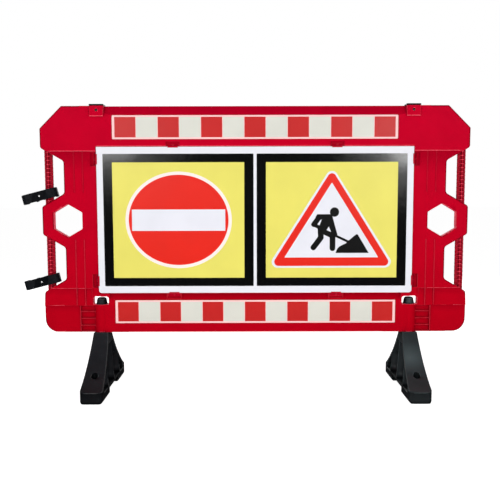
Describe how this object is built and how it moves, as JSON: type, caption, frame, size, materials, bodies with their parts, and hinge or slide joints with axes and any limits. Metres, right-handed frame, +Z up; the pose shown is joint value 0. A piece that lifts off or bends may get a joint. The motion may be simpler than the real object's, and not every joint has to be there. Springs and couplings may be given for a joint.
{
  "type": "pedestrian barrier panel",
  "caption": "Moulded pedestrian barrier panel with a framed sign board, reflective strips, hexagonal hand holes, swivelling feet and side clips that couple it to the next panel.",
  "frame": {"origin": "on the ground, at the bottom centre of the whole part's box; the panel's own middle is at X = 0.037 because the clips overhang on the left", "axes": "+Z up, +X to the right along the panel, and the sign board faces -Y"},
  "size_m": [1.574, 0.43, 1.0075],
  "materials": {
    "red_moulding": "satin",
    "white_board": "satin",
    "printed_sheet": "gloss",
    "strip_carrier": "satin",
    "red_film": "gloss",
    "silver_film": "gloss",
    "black_moulding": "satin"
  },
  "bodies": {
    "barrier": {"panel": "red_moulding", "left_upper_bar": "red_moulding", "left_lower_bar": "red_moulding", "right_upper_bar": "red_moulding", "right_lower_bar": "red_moulding", "sign_board": "white_board", "left_sign_sheet": "printed_sheet", "right_sign_sheet": "printed_sheet", "board_clips": "red_moulding", "top_strip": "strip_carrier", "top_red_squares": "red_film", "top_silver_squares": "silver_film", "bottom_strip": "strip_carrier", "bottom_red_squares": "red_film", "bottom_silver_squares": "silver_film", "left_lamp_cap": "black_moulding", "right_lamp_cap": "black_moulding"},
    "left_foot": {"left_foot": "black_moulding"},
    "right_foot": {"right_foot": "black_moulding"},
    "upper_clip": {"upper_clip": "black_moulding"},
    "lower_clip": {"lower_clip": "black_moulding"}
  },
  "joints": [
    {"name": "left_foot_swivel", "type": "hinge", "parent": "barrier", "child": "left_foot", "pos_m": [-0.51199, 0, 0.207], "axis": [0, 0, 1], "range_deg": [-90, 90]},
    {"name": "right_foot_swivel", "type": "hinge", "parent": "barrier", "child": "right_foot", "pos_m": [0.58601, 0, 0.207], "axis": [0, 0, 1], "range_deg": [-90, 90]},
    {"name": "upper_clip_swing", "type": "hinge", "parent": "barrier", "child": "upper_clip", "pos_m": [-0.68799, 0, 0.69959], "axis": [0, 0, 1], "range_deg": [-65, 65]},
    {"name": "lower_clip_swing", "type": "hinge", "parent": "barrier", "child": "lower_clip", "pos_m": [-0.68799, 0, 0.39593], "axis": [0, 0, 1], "range_deg": [-65, 65]}
  ]
}
